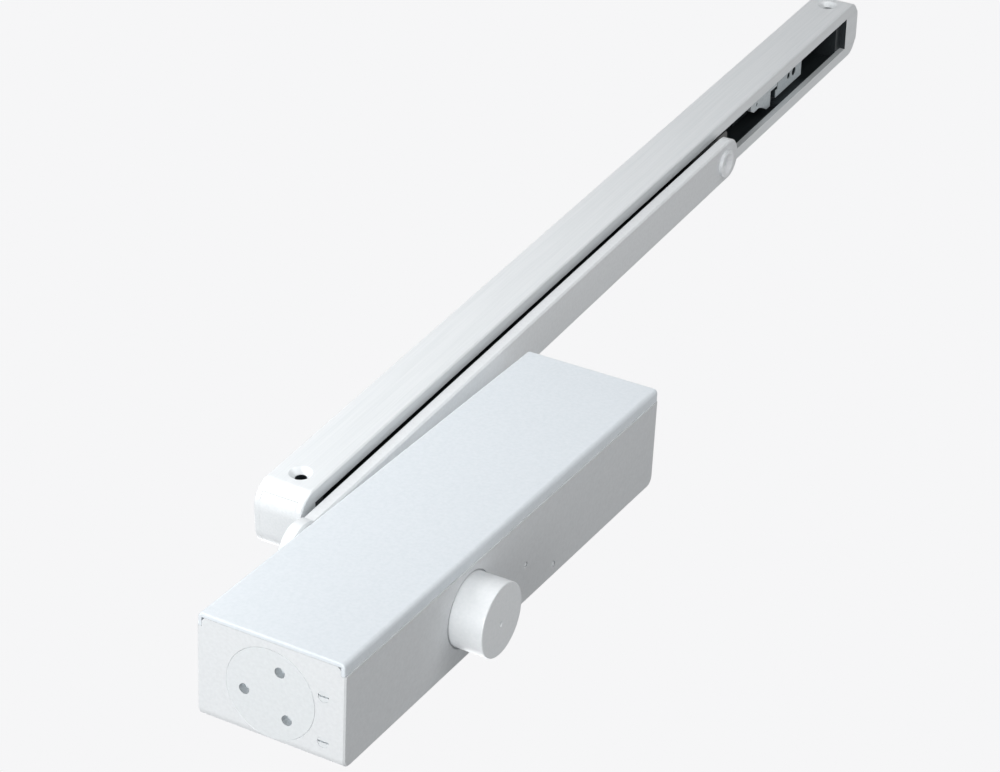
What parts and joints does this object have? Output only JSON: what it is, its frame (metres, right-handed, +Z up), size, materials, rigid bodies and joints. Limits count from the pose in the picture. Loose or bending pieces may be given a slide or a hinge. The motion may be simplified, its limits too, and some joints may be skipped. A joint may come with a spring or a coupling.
{
  "type": "slide arm door closer",
  "caption": "Slide arm door closer: hydraulic body with spring and rack piston, one arm on its spindle, and a slide rail with a hold-open unit.",
  "frame": {"origin": "centre of the housing's back face, the face that lies on the door", "axes": "+X along the body from the end with the valves to the end with the spring adjuster, +Y towards the door, +Z up along the spindle, towards the arm"},
  "size_m": [0.6094, 0.075, 0.1121],
  "materials": {
    "silver_paint": "fine satin silver powder coat",
    "silver_arm": "satin silver powder coat",
    "silver_plastic": "moulded, painted silver",
    "anodised_aluminium": "satin silver anodised, fine lines along its length",
    "silver_zinc": "die cast, painted silver",
    "zinc_plated_steel": "bright zinc plated",
    "hardened_steel": "ground and hardened",
    "bearing_steel": "ground bright",
    "spring_steel": "oil tempered",
    "cast_iron": "turned and ground",
    "brass": "turned",
    "rubber": "moulded",
    "black_plastic": "moulded acetal"
  },
  "bodies": {
    "closer_body": {"housing": "silver_paint", "front_cover": "silver_paint", "end_plug_near": "silver_paint", "end_plug_far": "silver_paint", "end_plug_seals": "rubber", "bearing_cups": "bearing_steel", "bearing_needles": "bearing_steel", "shaft_seals": "rubber", "bearing_ring_upper": "zinc_plated_steel", "bearing_ring_lower": "zinc_plated_steel", "pinion_cap": "silver_plastic", "sealing_plugs": "zinc_plated_steel"},
    "spindle_and_arm": {"pinion_spindle": "hardened_steel", "main_arm": "silver_arm", "arm_screw": "zinc_plated_steel", "pivot_stud": "zinc_plated_steel", "stud_clip": "spring_steel", "stud_washer": "black_plastic"},
    "piston": {"piston": "cast_iron", "check_valve_sleeve": "brass", "check_valve_ball": "bearing_steel", "relief_valve_sleeve": "brass", "relief_valve_ball": "bearing_steel"},
    "spring_adjuster": {"adjuster_screw": "zinc_plated_steel", "adjuster_seal": "rubber"},
    "spring_seat": {"spring_seat": "hardened_steel", "closing_spring_outer": "spring_steel", "closing_spring_inner": "spring_steel"},
    "closing_speed_valve": {"closing_speed_valve": "zinc_plated_steel", "closing_valve_seal": "rubber"},
    "latching_speed_valve": {"latching_speed_valve": "zinc_plated_steel", "latching_valve_seal": "rubber"},
    "slide_block": {"slide_block": "black_plastic"},
    "slide_rail": {"slide_rail": "anodised_aluminium", "rail_end_block_near": "silver_zinc", "rail_end_block_far": "silver_zinc"},
    "hold_open_unit": {"hold_open_body": "zinc_plated_steel", "hold_open_screws": "hardened_steel", "catch_pin": "hardened_steel", "catch_spring": "spring_steel"},
    "hold_open_catch": {"hold_open_catch": "zinc_plated_steel"}
  },
  "joints": [
    {"name": "arm_swing", "type": "hinge", "parent": "closer_body", "child": "spindle_and_arm", "pos_m": [-0.0327, -0.0203, 0], "axis": [0, 0, 1], "range_deg": [0, 160], "stiffness_Nm_per_rad": 4, "springref_deg": -143.24},
    {"name": "piston_slide", "type": "slide", "parent": "closer_body", "child": "piston", "axis": [1, 0, 0], "range_m": [0, 0.02445], "deforming": ["closing_spring_outer", "closing_spring_inner"]},
    {"name": "adjuster_turn", "type": "hinge", "parent": "closer_body", "child": "spring_adjuster", "pos_m": [0.1, -0.0203, 0], "axis": [1, 0, 0], "range_deg": [0, 2880]},
    {"name": "seat_slide", "type": "slide", "parent": "closer_body", "child": "spring_seat", "axis": [1, 0, 0], "range_m": [-0.01, 0], "deforming": ["closing_spring_outer", "closing_spring_inner"]},
    {"name": "closing_valve_turn", "type": "hinge", "parent": "closer_body", "child": "closing_speed_valve", "pos_m": [-0.116, -0.0272, -0.0214], "axis": [-1, 0, 0], "range_deg": [0, 720]},
    {"name": "latching_valve_turn", "type": "hinge", "parent": "closer_body", "child": "latching_speed_valve", "pos_m": [-0.116, -0.0087, -0.0214], "axis": [-1, 0, 0], "range_deg": [0, 720]},
    {"name": "slider_pivot", "type": "hinge", "parent": "spindle_and_arm", "child": "slide_block", "pos_m": [0.3226, -0.04826, 0.0451], "axis": [0, 0, 1], "continuous": true},
    {"name": "rail_slide", "type": "slide", "parent": "slide_block", "child": "slide_rail", "axis": [0.9969, -0.0785, 0], "range_m": [-0.038, 0.31]},
    {"name": "hold_open_slide", "type": "slide", "parent": "slide_rail", "child": "hold_open_unit", "axis": [0.9969, -0.0785, 0], "range_m": [0, 0.036]},
    {"name": "catch_turn", "type": "hinge", "parent": "hold_open_unit", "child": "hold_open_catch", "pos_m": [0.39587, -0.05403, 0.055], "axis": [0, 0, 1], "range_deg": [0, 5], "stiffness_Nm_per_rad": 0.4, "springref_deg": -17.19}
  ],
  "couplings": [
    {"joint": "piston_slide", "follows": "arm_swing", "m_per_rad": 0.00875},
    {"joint": "adjuster_turn", "follows": "seat_slide", "rad_per_m": -5026.5}
  ]
}
